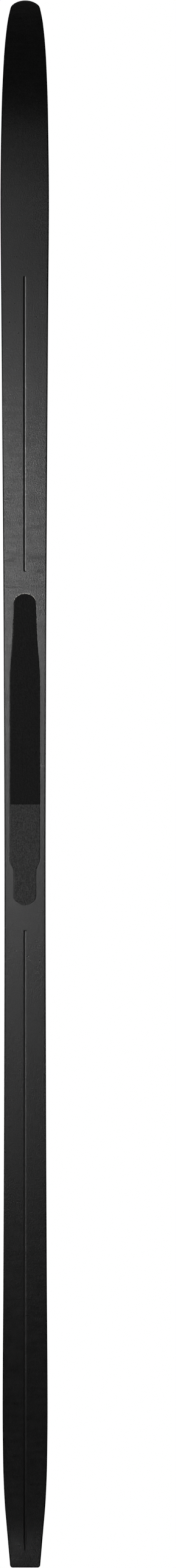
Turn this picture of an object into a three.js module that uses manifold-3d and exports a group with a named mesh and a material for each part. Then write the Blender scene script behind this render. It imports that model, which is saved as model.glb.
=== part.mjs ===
// A classic cross country touring ski with a two-part grip skin, without a binding.
//
// Frame, in millimetres: +X runs along the ski to the tip, +Y across it, +Z up from the snow.
// The origin is on the snow, below the middle of the ski's length.
//
// Places along the ski are given as stations: the distance back from the tip end, along X.
// Heights inside the ski are given above the underside of the running base at that station.

import * as THREE from 'three';
import { mergeVertices } from 'three/addons/utils/BufferGeometryUtils.js';
import Module from 'manifold-3d';

const wasm = await Module();
wasm.setup();

// ---- Driving dimensions ----

const LENGTH = 1950;

// Half widths of the outline, [station, half width], behind the round of the nose.
const OUTLINE = [
  [0, 16.25], [30, 22.2], [75, 26.2], [151, 28.9], [253, 30.0], [378, 29.1], [606, 27.5], [833, 26.3],
  [1090, 25.6], [1363, 26.1], [1591, 27.1], [1753, 28.0], [1818, 27.4], [1863, 25.7], [1909, 22.0],
  [LENGTH, 18.5],
];
const NOSE_ROUND = 10; // length of the elliptic round that closes the nose
const NOSE_FLAT = 0.25; // the nose ends square this far short of the ellipse's end
const TAIL_CORNER = 3;

// Side view: the base touches the snow at the two contact stations.
const FRONT_CONTACT = 253;
const REAR_CONTACT = 1890;
const CAMBER = 22;
const TIP_RISE = 105;
const TIP_CURVE_POWER = 2.1;
const TAIL_RISE = 5;
const THICKNESS = [
  [0, 5], [150, 5.8], [300, 8.2], [600, 15.5], [800, 21], [950, 24], [1180, 24], [1350, 20.8],
  [1650, 13], [1850, 8.6], [LENGTH, 7.6],
];

// Layers, from the snow up.
const BASE_THICK = 1.4;
const LAMINATE_THICK = 0.7;
const TOP_SHEET_THICK = 0.6;
const REINFORCEMENT_THICK = 0.8;
const GLUE = 0.05; // the glue line between two layers
const BASE_INSET = 1.3; // how far the base sheet is set in from the outline
const CORE_INSET = 4; // how far the laminates and the core are set in
const EDGE_LIFT = 0.15; // how far the edge beside the base stays off the snow
const SIDE_LEAN = 0.05; // how far the sides lean in, per millimetre of height
const TOP_BEVEL = 0.4;
const CUTTER_REACH = 1; // how far a cutter sticks out of the face it cuts
const LEAST_STEP = 0.3; // least distance between a piece's end and the next station

// Nose and tail pieces, core and reinforcement.
const NOSE_PIECE_END = 120;
const TAIL_PIECE_START = 1890;
const CORE_START = NOSE_PIECE_END + 0.2;
const CORE_END = TAIL_PIECE_START - 0.2;
const CORE_SPLIT = 5; // half the width of the middle stringer
const REINFORCEMENT_START = 815;
const REINFORCEMENT_END = 1300;
const REINFORCEMENT_GAP = 0.3; // room at each end of the reinforcement
const CORE_STEP = 0.1; // length of the core's step down under the reinforcement

// Grip skin: a pocket in the base that holds a front and a rear strip.
const SKIN_FRONT_ROUND = 11.2;
const SKIN_FRONT_START = 738.8;
const SKIN_SEAM = 1000;
const SKIN_REAR_ROUND = 9.8;
const SKIN_REAR_END = 1125.8;
const SKIN_REAR_POWER = 1.5; // 2 would make the rear end elliptic, 1 a sharp V
const SKIN_HALF_WIDTHS = [
  [750, 13.4], [797, 15.35], [825, 17.6], [846, 18.6], [1068, 18.65], [1083, 13.9], [1116, 13.75],
];
const SKIN_PROUD = 0.4;
const POCKET_DEPTH = 0.95;
const POCKET_MARGIN = 0.35;
const SKIN_ADHESIVE_THICK = 0.15;

// Centre groove: one run ahead of the grip skin and one behind it.
const GROOVES = [[345.5, 711], [1156.5, 1929]];
const GROOVE_HALF_WIDTH = 1.75;
const GROOVE_DEPTH = 1;
const GROOVE_END = 3; // length over which the groove runs out at each end
const GROOVE_LEAST = 0.15; // share of its section that the groove still has where it ends

// Binding plates and their screws. Both plates' upper faces lie in one level plane.
const PLATES = {
  front: { start: 862, end: 1062, screws: [884, 1040] },
  rear: { start: 1112, end: 1272, screws: [1134, 1250] },
};
const PLATE_TOP = 49.8;
const FLANGE_HALF_WIDTH = 21;
const FLANGE_THICK = 1.6; // at the neck of the rail
const FLANGE_EDGE_THICK = 0.96;
const RAIL_HALF_WIDTH = 16;
const RAIL_NECK_HALF_WIDTH = 14.2;
const RAIL_LIP = 1.2;
const RAIL_UNDERCUT = 0.2; // least height of the slope between the neck and the lip
const PLATE_CORNER = 4;
const PLATE_CORNER_STEP = 1.2; // extra stations this far from each end
const SCREW_SPACING = 20; // across the ski
const SCREW_LENGTH = 16;
const SCREW_HEAD_RADIUS = 4;
const SCREW_HEAD_RIM = 0.4;
const SCREW_SHANK_RADIUS = 2.1;
const SCREW_POINT = 2; // length over which the shank narrows to its end
const SCREW_SEGMENTS = 16;
const HOLE_GAP = 0.3;

// ---- Curves ----

// A smooth curve through [station, value] points that never overshoots them.
function smoothThrough(points) {
  const last = points.length - 1;
  const step = points.slice(1).map((p, i) => p[0] - points[i][0]);
  const rise = points.slice(1).map((p, i) => (p[1] - points[i][1]) / step[i]);
  const slope = points.map((p, i) => {
    if (i === 0) return rise[0];
    if (i === last) return rise[last - 1];
    if (rise[i - 1] * rise[i] <= 0) return 0;
    const before = 2 * step[i] + step[i - 1];
    const after = step[i] + 2 * step[i - 1];
    return (before + after) / (before / rise[i - 1] + after / rise[i]);
  });
  return (station) => {
    let i = 0;
    while (i < last - 1 && station > points[i + 1][0]) i += 1;
    const t = THREE.MathUtils.clamp((station - points[i][0]) / step[i], 0, 1);
    const u = 1 - t;
    return u * u * (1 + 2 * t) * points[i][1] + t * t * (3 - 2 * t) * points[i + 1][1]
      + t * u * step[i] * (u * slope[i] - t * slope[i + 1]);
  };
}

const outlineAt = smoothThrough(OUTLINE);
const thicknessAt = smoothThrough(THICKNESS);
const skinWidthAt = smoothThrough(SKIN_HALF_WIDTHS);

// Share of the full width that a rounded end has at t of its length, from 0 at the end to 1.
function roundedEnd(t, power = 2) {
  return (1 - (1 - THREE.MathUtils.clamp(t, 0, 1)) ** power) ** (1 / power);
}

// Half width of the ski's outline, moved in by inset all round.
function halfWidth(station, inset = 0) {
  const back = Math.max(station - inset, NOSE_FLAT);
  const nose = roundedEnd(back / (NOSE_ROUND - Math.min(inset, NOSE_ROUND / 2)));
  const corner = Math.max(TAIL_CORNER - inset, 0.5);
  const past = Math.max(station + inset - (LENGTH - corner), 0);
  const rounding = corner - Math.sqrt(Math.max(corner ** 2 - past ** 2, 0));
  return nose * (outlineAt(station) - inset) - rounding;
}

// Half width of the grip skin, moved out by margin all round.
function skinHalfWidth(station, margin = 0) {
  const front = (station - SKIN_FRONT_START + margin) / (SKIN_FRONT_ROUND + margin);
  const rear = (SKIN_REAR_END + margin - station) / (SKIN_REAR_ROUND + margin);
  return roundedEnd(front) * roundedEnd(rear, SKIN_REAR_POWER) * (skinWidthAt(station) + margin);
}

// Height of the running base's underside over the snow.
function baseHeight(station) {
  if (station < FRONT_CONTACT) {
    return TIP_RISE * (1 - station / FRONT_CONTACT) ** TIP_CURVE_POWER;
  }
  if (station > REAR_CONTACT) {
    return TAIL_RISE * ((station - REAR_CONTACT) / (LENGTH - REAR_CONTACT)) ** 2;
  }
  const t = (station - FRONT_CONTACT) / (REAR_CONTACT - FRONT_CONTACT);
  return CAMBER * (4 * t * (1 - t)) ** 2;
}

function topHeight(station) {
  return baseHeight(station) + thicknessAt(station);
}

// ---- Stations ----

// Stations that every long piece shares, so that layers stay parallel: close together where the
// outline rounds off at the nose and tail, and where the tip curves up.
function sharedStations() {
  const ends = [0.8, 1.3, 2, 3, 4, 5.5, 7.5, 10, 13, 17, 24];
  const list = [...ends, ...ends.map((step) => LENGTH - step), REAR_CONTACT];
  for (let s = 34; s < FRONT_CONTACT - 5; s += 17) list.push(s);
  for (let s = FRONT_CONTACT; s < 1760; s += 50) list.push(s);
  for (let s = 1773; s < 1920; s += 20) list.push(s);
  return list.sort((a, b) => a - b);
}

const SHARED = sharedStations();

// Stations from start to end: the shared ones between them, and any extra ones.
function stationsBetween(start, end, extra = []) {
  const inside = [...SHARED, ...extra].filter((s) => s > start + LEAST_STEP && s < end - LEAST_STEP);
  return [start, ...inside.sort((a, b) => a - b), end];
}

// Stations of a sheet that follows the whole outline, set in by inset.
function fullStations(inset) {
  return stationsBetween(inset, LENGTH - inset);
}

// ---- Solids ----

// A closed solid along the ski. section(station) gives its outline there as [y, z] points, counter-
// clockwise as seen from the tip, with z above the snow. All outlines have as many points.
function loft(stations, section) {
  const rings = stations.map((station) => section(station));
  const count = rings[0].length;
  const positions = rings.flatMap((ring, i) => ring.flatMap(([y, z]) => [LENGTH / 2 - stations[i], y, z]));
  const faces = [];
  for (let i = 0; i < rings.length - 1; i += 1) {
    for (let j = 0; j < count; j += 1) {
      const a = i * count + j;
      const b = a + count;
      const c = i * count + ((j + 1) % count);
      const d = c + count;
      faces.push(a, b, c, c, b, d);
    }
  }
  const cap = (ring) => THREE.ShapeUtils.triangulateShape(ring.map(([y, z]) => new THREE.Vector2(y, z)), []);
  const tailStart = (rings.length - 1) * count;
  for (const [a, b, c] of cap(rings[0])) faces.push(a, b, c);
  for (const [a, b, c] of cap(rings.at(-1))) faces.push(tailStart + a, tailStart + c, tailStart + b);
  const geometry = new THREE.BufferGeometry();
  geometry.setAttribute('position', new THREE.Float32BufferAttribute(positions, 3));
  geometry.setIndex(faces);
  return geometry;
}

// A rectangle for loft, over the given heights.
function rectangle(left, right, low, high) {
  return [[left, low], [right, low], [right, high], [left, high]];
}

// A flat layer with a half width and two heights above the base's underside, each a function.
function layer(stations, half, low, high) {
  return loft(stations, (s) => {
    const z = baseHeight(s);
    return rectangle(-half(s), half(s), z + low(s), z + high(s));
  });
}

const level = (height) => () => height;
const belowTop = (depth) => (station) => thicknessAt(station) - depth;

function toManifold(geometry) {
  const bare = geometry.clone();
  for (const name of Object.keys(bare.attributes)) {
    if (name !== 'position') bare.deleteAttribute(name);
  }
  const merged = mergeVertices(bare, 1e-5);
  return new wasm.Manifold(new wasm.Mesh({
    numProp: 3,
    vertProperties: new Float32Array(merged.attributes.position.array),
    triVerts: new Uint32Array(merged.index.array),
  }));
}

function fromManifold(solid) {
  const mesh = solid.getMesh();
  const geometry = new THREE.BufferGeometry();
  geometry.setAttribute('position', new THREE.BufferAttribute(mesh.vertProperties, mesh.numProp));
  geometry.setIndex(new THREE.BufferAttribute(mesh.triVerts, 1));
  return geometry;
}

function cut(geometry, cutters) {
  let solid = toManifold(geometry);
  for (const cutter of cutters) solid = solid.subtract(toManifold(cutter));
  return fromManifold(solid);
}

// ---- The group ----

const ski = new THREE.Group();
ski.name = 'cross_country_ski';

function add(name, geometry, color, roughness, metalness = 0) {
  const flat = geometry.toNonIndexed();
  flat.computeVertexNormals();
  const mesh = new THREE.Mesh(flat, new THREE.MeshStandardMaterial({ color, roughness, metalness }));
  mesh.name = name;
  ski.add(mesh);
}

// ---- Running base ----

// What the centre groove takes away: a shallow rounded V that runs out at both ends.
function grooveCutter([start, end]) {
  const ends = [start, start + GROOVE_END, end - GROOVE_END, end];
  return loft(stationsBetween(start, end, ends), (s) => {
    const fade = THREE.MathUtils.clamp(Math.min(s - start, end - s) / GROOVE_END, GROOVE_LEAST, 1);
    const w = GROOVE_HALF_WIDTH * fade;
    const d = GROOVE_DEPTH * fade;
    const z = baseHeight(s);
    const outside = z - CUTTER_REACH;
    return [
      [-w * 1.2, outside], [w * 1.2, outside], [w, z], [w * 0.6, z + d * 0.75], [0, z + d],
      [-w * 0.6, z + d * 0.75], [-w, z],
    ];
  });
}

// Stations of a piece with the skin's outline, moved out by margin.
function skinStations(start, end, margin) {
  const rounds = [0.3, 1.2, 2.8, 5, 8];
  const front = rounds.map((step) => SKIN_FRONT_START - margin + step);
  const rear = rounds.map((step) => SKIN_REAR_END + margin - step);
  const widths = SKIN_HALF_WIDTHS.map(([station]) => station);
  const shoulder = [811, 835, 1072, 1075.5, 1079];
  return stationsBetween(start, end, [...front, ...rear, ...widths, ...shoulder]);
}

function skinLayer(start, end, margin, low, high) {
  const half = (s) => Math.max(skinHalfWidth(s, margin), 1);
  return layer(skinStations(start, end, margin), half, level(low), level(high));
}

function addRunningBase() {
  const blank = layer(fullStations(BASE_INSET), (s) => halfWidth(s, BASE_INSET), level(0), level(BASE_THICK));
  const start = SKIN_FRONT_START - POCKET_MARGIN;
  const end = SKIN_REAR_END + POCKET_MARGIN;
  const pocket = skinLayer(start, end, POCKET_MARGIN, -CUTTER_REACH, POCKET_DEPTH);
  add('running_base', cut(blank, [pocket, ...GROOVES.map(grooveCutter)]), 0x1b1c1e, 0.35);
}

// ---- Grip skin ----

function addSkin(name, start, end, color) {
  const adhesiveTop = POCKET_DEPTH - GLUE;
  const adhesiveLow = adhesiveTop - SKIN_ADHESIVE_THICK;
  add(`${name}_skin`, skinLayer(start, end, 0, -SKIN_PROUD, adhesiveLow - GLUE), color, 0.95);
  add(`${name}_skin_adhesive`, skinLayer(start, end, 0, adhesiveLow, adhesiveTop), 0xb8ae90, 0.6);
}

function addSkins() {
  addSkin('front', SKIN_FRONT_START, SKIN_SEAM, 0x101012);
  addSkin('rear', SKIN_SEAM + GLUE * 2, SKIN_REAR_END, 0x2c2d2f);
}

// ---- Laminates, core and reinforcement ----

const LOWER_LAMINATE_LOW = BASE_THICK + GLUE;
const LOWER_LAMINATE_HIGH = LOWER_LAMINATE_LOW + LAMINATE_THICK;
const CORE_LOW = LOWER_LAMINATE_HIGH + GLUE;
const UPPER_LAMINATE_DEPTH = TOP_SHEET_THICK + GLUE; // depth of its upper face below the ski's top
const CORE_DEPTH = UPPER_LAMINATE_DEPTH + LAMINATE_THICK + GLUE;
const CORE_DEPTH_UNDER_PLATES = CORE_DEPTH + REINFORCEMENT_THICK + GLUE;

const coreHalfWidth = (station) => halfWidth(station, CORE_INSET) - GLUE;

function addLaminates(holes) {
  const stations = fullStations(CORE_INSET);
  add(
    'lower_laminate',
    layer(stations, coreHalfWidth, level(LOWER_LAMINATE_LOW), level(LOWER_LAMINATE_HIGH)),
    0xc9c6a0, 0.5,
  );
  const upper = layer(
    stations, coreHalfWidth, belowTop(CORE_DEPTH - GLUE), belowTop(UPPER_LAMINATE_DEPTH),
  );
  add('upper_laminate', cut(upper, holes), 0xc9c6a0, 0.5);
}

// One stringer of the core. Its upper side steps down under the reinforcement.
function stringer(leftSide, rightSide) {
  const under = [REINFORCEMENT_START, REINFORCEMENT_END];
  const steps = under.flatMap((s) => [s - CORE_STEP / 2, s + CORE_STEP / 2]);
  return loft(stationsBetween(CORE_START, CORE_END, steps), (s) => {
    const z = baseHeight(s);
    const depth = s > under[0] && s < under[1] ? CORE_DEPTH_UNDER_PLATES : CORE_DEPTH;
    return rectangle(leftSide(s), rightSide(s), z + CORE_LOW, z + thicknessAt(s) - depth);
  });
}

function addCore(holes) {
  const inner = CORE_SPLIT + GLUE;
  add('core_middle_stringer', stringer(level(-CORE_SPLIT), level(CORE_SPLIT)), 0xc79a5b, 0.8);
  add('core_left_stringer', cut(stringer(level(inner), coreHalfWidth), holes), 0xe0c48c, 0.8);
  add(
    'core_right_stringer',
    cut(stringer((s) => -coreHalfWidth(s), level(-inner)), holes),
    0xe0c48c, 0.8,
  );
  const start = REINFORCEMENT_START + REINFORCEMENT_GAP;
  const end = REINFORCEMENT_END - REINFORCEMENT_GAP;
  const sheet = layer(
    stationsBetween(start, end), coreHalfWidth,
    belowTop(CORE_DEPTH_UNDER_PLATES - GLUE), belowTop(CORE_DEPTH),
  );
  add('binding_reinforcement', cut(sheet, holes), 0x8a8c5a, 0.6);
}

// ---- Edges: nose piece, tail piece and sidewalls ----

// A piece that fills the whole outline between two stations, with pockets below and above for the
// base and the laminates.
function endPiece(stations) {
  const solid = loft(stations, (s) => {
    const z = baseHeight(s);
    const low = halfWidth(s) - SIDE_LEAN * EDGE_LIFT;
    const high = halfWidth(s) - SIDE_LEAN * thicknessAt(s);
    const top = z + thicknessAt(s) - UPPER_LAMINATE_DEPTH;
    return [[-low, z + EDGE_LIFT], [low, z + EDGE_LIFT], [high, top], [-high, top]];
  });
  const pocket = (inset, low, high) => layer(fullStations(inset), (s) => halfWidth(s, inset), low, high);
  return cut(solid, [
    pocket(BASE_INSET - GLUE, level(-CUTTER_REACH), level(LOWER_LAMINATE_LOW)),
    pocket(CORE_INSET - GLUE, level(BASE_THICK), level(CORE_LOW)),
    pocket(CORE_INSET - GLUE, belowTop(CORE_DEPTH), belowTop(0)),
  ]);
}

// A sidewall: a strip beside the core with a narrow foot beside the base. side is 1 for left, -1 for
// right.
function sidewall(side) {
  return loft(stationsBetween(CORE_START, CORE_END), (s) => {
    const z = baseHeight(s);
    const outer = halfWidth(s);
    const high = thicknessAt(s) - UPPER_LAMINATE_DEPTH;
    const points = [
      [outer - BASE_INSET + GLUE, EDGE_LIFT],
      [outer - SIDE_LEAN * EDGE_LIFT, EDGE_LIFT],
      [outer - SIDE_LEAN * high, high],
      [outer - CORE_INSET + GLUE, high],
      [outer - CORE_INSET + GLUE, LOWER_LAMINATE_LOW],
      [outer - BASE_INSET + GLUE, LOWER_LAMINATE_LOW],
    ].map(([y, height]) => [side * y, z + height]);
    return side > 0 ? points : points.reverse();
  });
}

function addEdges() {
  const nose = fullStations(0).filter((s) => s < NOSE_PIECE_END - 1);
  const tail = fullStations(0).filter((s) => s > TAIL_PIECE_START + 1);
  add('nose_piece', endPiece([...nose, NOSE_PIECE_END]), 0x121214, 0.45);
  add('tail_piece', endPiece([TAIL_PIECE_START, ...tail]), 0x121214, 0.45);
  add('left_sidewall', sidewall(1), 0x121214, 0.45);
  add('right_sidewall', sidewall(-1), 0x121214, 0.45);
}

// ---- Top sheet ----

function addTopSheet(holes) {
  const sheet = loft(fullStations(0), (s) => {
    const top = topHeight(s);
    const half = halfWidth(s) - SIDE_LEAN * thicknessAt(s);
    const low = top - TOP_SHEET_THICK;
    const bevel = top - TOP_BEVEL;
    const crown = half - TOP_BEVEL * 2;
    return [[-half, low], [half, low], [half, bevel], [crown, top], [-crown, top], [-half, bevel]];
  });
  add('top_sheet', cut(sheet, holes), 0x1a1c20, 0.3);
}

// ---- Binding plates and screws ----

// A plate with a flange glued to the ski's top and a rail that a binding slides onto. Its underside
// follows the ski and its upper face is level.
function plate({ start, end }) {
  const corners = [0, PLATE_CORNER_STEP, PLATE_CORNER].flatMap((step) => [start + step, end - step]);
  return loft(stationsBetween(start, end, corners), (s) => {
    const past = PLATE_CORNER * (1 - roundedEnd(Math.min(s - start, end - s) / PLATE_CORNER));
    const low = topHeight(s) + GLUE;
    const shoulder = low + FLANGE_EDGE_THICK;
    const neck = low + FLANGE_THICK;
    const lip = Math.max(PLATE_TOP - RAIL_LIP, neck + RAIL_UNDERCUT);
    const half = [
      [FLANGE_HALF_WIDTH, low], [FLANGE_HALF_WIDTH, shoulder], [RAIL_NECK_HALF_WIDTH, neck],
      [RAIL_HALF_WIDTH, lip], [RAIL_HALF_WIDTH, PLATE_TOP],
    ].map(([y, z]) => [y - past, z]);
    const mirrored = half.map(([y, z]) => [-y, z]).reverse();
    return [...half, ...mirrored];
  });
}

// A countersunk screw's profile from the tip of the shank up, moved out by margin.
function screwShape(margin) {
  const shank = SCREW_SHANK_RADIUS + margin;
  const head = SCREW_HEAD_RADIUS + margin;
  const cone = SCREW_HEAD_RADIUS - SCREW_SHANK_RADIUS;
  const bottom = -SCREW_LENGTH - margin;
  const above = margin > 0 ? CUTTER_REACH : 0;
  const points = [
    [0, bottom], [shank * 0.5, bottom], [shank, bottom + SCREW_POINT],
    [shank, -SCREW_HEAD_RIM - cone], [head, -SCREW_HEAD_RIM], [head, above], [0, above],
  ];
  return new THREE.LatheGeometry(points.map(([r, z]) => new THREE.Vector2(r, z)), SCREW_SEGMENTS);
}

// Screws stand upright, with their heads just below the plates' upper face.
function placeScrew(geometry, { station, y }) {
  return geometry.rotateX(Math.PI / 2).translate(LENGTH / 2 - station, y, PLATE_TOP - SCREW_HEAD_RIM);
}

function screwPlaces() {
  return Object.entries(PLATES).flatMap(([plateName, { screws }]) => (
    screws.flatMap((station) => [1, -1].map((side) => ({ plateName, station, y: side * SCREW_SPACING / 2 })))
  ));
}

function addPlatesAndScrews(places, holes) {
  for (const [plateName, dims] of Object.entries(PLATES)) {
    add(`${plateName}_binding_plate`, cut(plate(dims), holes), 0x202124, 0.55);
    places.filter((place) => place.plateName === plateName).forEach((place, i) => {
      const solid = fromManifold(toManifold(placeScrew(screwShape(0), place)));
      add(`${plateName}_plate_screw_${i + 1}`, solid, 0x9a9ca0, 0.35, 1);
    });
  }
}

// ---- Assembly ----

const places = screwPlaces();
const holes = places.map((place) => placeScrew(screwShape(HOLE_GAP), place));

addRunningBase();
addSkins();
addLaminates(holes);
addCore(holes);
addEdges();
addTopSheet(holes);
addPlatesAndScrews(places, holes);

export default ski;
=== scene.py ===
"""Looks of a classic cross country touring ski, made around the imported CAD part.

Sizes are in millimetres until placed() turns them into the frame's metres. A place on the ski is a
station (distance back from the tip end), a distance across (positive to the skier's left) and a
height above the running base's underside at that station.
"""

import math

import bmesh
import bpy
import numpy as np
from mathutils import Matrix, Vector


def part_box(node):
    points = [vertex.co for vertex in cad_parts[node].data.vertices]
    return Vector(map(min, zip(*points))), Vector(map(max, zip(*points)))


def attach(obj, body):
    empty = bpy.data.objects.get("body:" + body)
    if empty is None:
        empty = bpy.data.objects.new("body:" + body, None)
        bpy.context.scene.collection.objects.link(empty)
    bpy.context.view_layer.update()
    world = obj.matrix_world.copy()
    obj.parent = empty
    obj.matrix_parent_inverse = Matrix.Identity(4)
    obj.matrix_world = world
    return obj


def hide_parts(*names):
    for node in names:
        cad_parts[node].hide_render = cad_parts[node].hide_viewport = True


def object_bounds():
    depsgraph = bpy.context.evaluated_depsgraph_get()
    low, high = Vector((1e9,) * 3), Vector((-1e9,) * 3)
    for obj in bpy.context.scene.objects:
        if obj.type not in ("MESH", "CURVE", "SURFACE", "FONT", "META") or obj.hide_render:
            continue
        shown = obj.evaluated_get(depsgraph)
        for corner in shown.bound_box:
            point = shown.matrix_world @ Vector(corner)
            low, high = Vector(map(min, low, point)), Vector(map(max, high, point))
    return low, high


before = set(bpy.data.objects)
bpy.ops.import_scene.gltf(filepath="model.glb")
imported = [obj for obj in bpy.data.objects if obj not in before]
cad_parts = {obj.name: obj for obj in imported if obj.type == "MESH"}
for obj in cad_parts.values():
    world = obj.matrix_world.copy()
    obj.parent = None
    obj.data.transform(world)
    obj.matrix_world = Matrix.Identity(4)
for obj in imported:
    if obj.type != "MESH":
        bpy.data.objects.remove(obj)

cad_low, cad_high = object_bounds()

MM = 0.001
SEED = 11

# ---- Shape of the ski, as in the CAD part ----

LENGTH = (cad_high.x - cad_low.x) / MM
OUTLINE = [
    (0, 16.25), (30, 22.2), (75, 26.2), (151, 28.9), (253, 30.0), (378, 29.1), (606, 27.5), (833, 26.3),
    (1090, 25.6), (1363, 26.1), (1591, 27.1), (1753, 28.0), (1818, 27.4), (1863, 25.7), (1909, 22.0),
    (LENGTH, 18.5),
]
NOSE_ROUND = 10
TAIL_CORNER = 3
FRONT_CONTACT = 253
REAR_CONTACT = 1890
CAMBER = 22
TIP_RISE = 105
TIP_CURVE_POWER = 2.1
TAIL_RISE = 5
THICKNESS = [
    (0, 5), (150, 5.8), (300, 8.2), (600, 15.5), (800, 21), (950, 24), (1180, 24), (1350, 20.8),
    (1650, 13), (1850, 8.6), (LENGTH, 7.6),
]
BASE_THICK = 1.4
TOP_SHEET_THICK = 0.6
TOP_COLUMNS = 13
GLUE = 0.05
BASE_INSET = 1.3
CORE_INSET = 4
EDGE_LIFT = 0.15
SIDE_LEAN = 0.05
NOSE_PIECE_END = 120
TAIL_PIECE_START = 1890

SKIN_START = 738.8
SKIN_FRONT_ROUND = 11.2
SKIN_SEAM = 1000
SKIN_END = 1125.8
SKIN_REAR_ROUND = 9.8
SKIN_REAR_POWER = 1.5
SKIN_HALF_WIDTHS = [
    (750, 13.4), (797, 15.35), (825, 17.6), (846, 18.6), (1068, 18.65), (1083, 13.9), (1116, 13.75),
]
SKIN_SHOULDER = (1068, 1086)  # where the rear skin narrows
SKIN_PROUD = 0.4  # how far the pile stands out of the running base
SKIN_BACK = 0.65  # height of the strip's plain back
PILE_RAG = 0.35  # how far the pile's outline wanders
PILE_SHOULDER = 0.8  # width of the pile's rounded edge
PILE_FOOT = 0.15  # height of the pile's face at that edge
PILE_STEP = 0.55  # from one row of the pile's grid to the next
PILE_COLUMNS = 72
POCKET_DEPTH = 0.95
POCKET_MARGIN = 0.35
GROOVES = [(345.5, 711, 1.2), (1156.5, 1929, 24)]  # start, end, and how long its rear end fades
GROOVE_HALF_WIDTH = 1.75
GROOVE_DEPTH = 1
GROOVE_RADIUS = (GROOVE_HALF_WIDTH ** 2 + GROOVE_DEPTH ** 2) / (2 * GROOVE_DEPTH)
GROOVE_FRONT_END = 1.2
GROOVE_REAR_POWER = 1.3
GROOVE_DROP = 0.05  # share of the groove's depth that its wall drops at once
FEATURE_STEP = 0.02  # how far to each side of a step in the base its stations are
END_GAP = 0.2  # between a sidewall and the nose or tail piece


def smooth_through(points):
    """A smooth curve through (station, value) points that never overshoots them."""
    at, value = np.array(points, float).T
    step = np.diff(at)
    rise = np.diff(value) / step
    slope = np.zeros(len(at))
    slope[0], slope[-1] = rise[0], rise[-1]
    for i in range(1, len(at) - 1):
        if rise[i - 1] * rise[i] > 0:
            before = 2 * step[i] + step[i - 1]
            after = step[i] + 2 * step[i - 1]
            slope[i] = (before + after) / (before / rise[i - 1] + after / rise[i])

    def curve(station):
        i = np.clip(np.searchsorted(at, station, side="right") - 1, 0, len(at) - 2)
        t = np.clip((station - at[i]) / step[i], 0, 1)
        u = 1 - t
        ends = u * u * (1 + 2 * t) * value[i] + t * t * (3 - 2 * t) * value[i + 1]
        return ends + t * u * step[i] * (u * slope[i] - t * slope[i + 1])

    return curve


outline_at = smooth_through(OUTLINE)
thickness = smooth_through(THICKNESS)
skin_width_at = smooth_through(SKIN_HALF_WIDTHS)


def rounded_end(t, power=2.0):
    """Share of the full width that a rounded end has at t of its length."""
    return (1 - (1 - np.clip(t, 0, 1)) ** power) ** (1 / power)


def skin_half_width(station, margin=0.0):
    """Half width of the grip skin, moved out by margin all round."""
    front = rounded_end((station - SKIN_START + margin) / (SKIN_FRONT_ROUND + margin))
    rear = rounded_end((SKIN_END + margin - station) / (SKIN_REAR_ROUND + margin), SKIN_REAR_POWER)
    return front * rear * (skin_width_at(station) + margin)


def base_height(station):
    """Height of the running base's underside over the snow."""
    tip = TIP_RISE * np.clip(1 - station / FRONT_CONTACT, 0, 1) ** TIP_CURVE_POWER
    tail = TAIL_RISE * np.clip((station - REAR_CONTACT) / (LENGTH - REAR_CONTACT), 0, 1) ** 2
    t = np.clip((station - FRONT_CONTACT) / (REAR_CONTACT - FRONT_CONTACT), 0, 1)
    return tip + tail + CAMBER * (4 * t * (1 - t)) ** 2


def placed(station, across, height):
    """Points in the frame, in metres, as an array with x, y and z in its last axis."""
    station, across, height = np.broadcast_arrays(station, across, height)
    points = np.stack([LENGTH / 2 - station, across, base_height(station) + height], -1)
    return points * MM


# ---- Mesh helpers ----


def new_piece(name, vertices, faces, material, sharp=35.0):
    """A mesh object with smooth shading that breaks at edges sharper than an angle in degrees."""
    mesh = bpy.data.meshes.new(name)
    mesh.from_pydata([tuple(v) for v in vertices], [], [tuple(f) for f in faces])
    mesh.update()
    piece = bpy.data.objects.new(name, mesh)
    bpy.context.scene.collection.objects.link(piece)
    mesh.materials.append(material)
    finish_mesh(piece, sharp)
    return piece


def finish_mesh(piece, sharp):
    """Turns the faces outward and sets the shading."""
    bm = bmesh.new()
    bm.from_mesh(piece.data)
    bmesh.ops.remove_doubles(bm, verts=bm.verts, dist=1e-7)
    bmesh.ops.recalc_face_normals(bm, faces=bm.faces)
    bm.to_mesh(piece.data)
    bm.free()
    piece.data.shade_smooth()
    piece.data.set_sharp_from_angle(angle=math.radians(sharp))


def stands_for(piece, slot, *nodes):
    """The piece moves with the ski and replaces CAD nodes."""
    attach(piece, "root")
    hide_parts(*nodes)


def strip_faces(rows, columns, first=0, closed=False, flip=False):
    """Quads of a grid of rows and columns of vertices, whose columns may close on themselves."""
    faces = []
    for i in range(rows - 1):
        for j in range(columns if closed else columns - 1):
            a, b = first + i * columns + j, first + i * columns + (j + 1) % columns
            quad = (a, b, b + columns, a + columns)
            faces.append(quad[::-1] if flip else quad)
    return faces


def swept(name, rings, material, sharp=35.0):
    """A closed solid through rings of points, all with as many points, with flat ends."""
    rings = np.asarray(rings)
    count, size = rings.shape[:2]
    faces = strip_faces(count, size, closed=True)
    faces.append(tuple(range(size)))
    faces.append(tuple(range((count - 1) * size, count * size)))
    return new_piece(name, rings.reshape(-1, 3), faces, material, sharp)


# ---- The outline as a grid ----

NOSE_ANGLES = np.radians([5, 12, 20, 28, 37, 46, 55, 64, 73, 82, 90])
TAIL_ANGLES = np.radians([0, 18, 36, 54, 72, 90])
# Where the stations between nose and tail start, end, and how far apart they are.
BODY_SPANS = [
    (12, 40, 2.0), (40, 252, 4.0), (252, 1900, 6.0), (1900, LENGTH - TAIL_CORNER - 1, 4.0),
]


def body_stations(extra=()):
    """Stations between the round of the nose and the corners of the tail."""
    parts = [np.arange(*span) for span in BODY_SPANS]
    return np.unique(np.round(np.concatenate([*parts, np.asarray(extra, float)]), 3))


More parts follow.
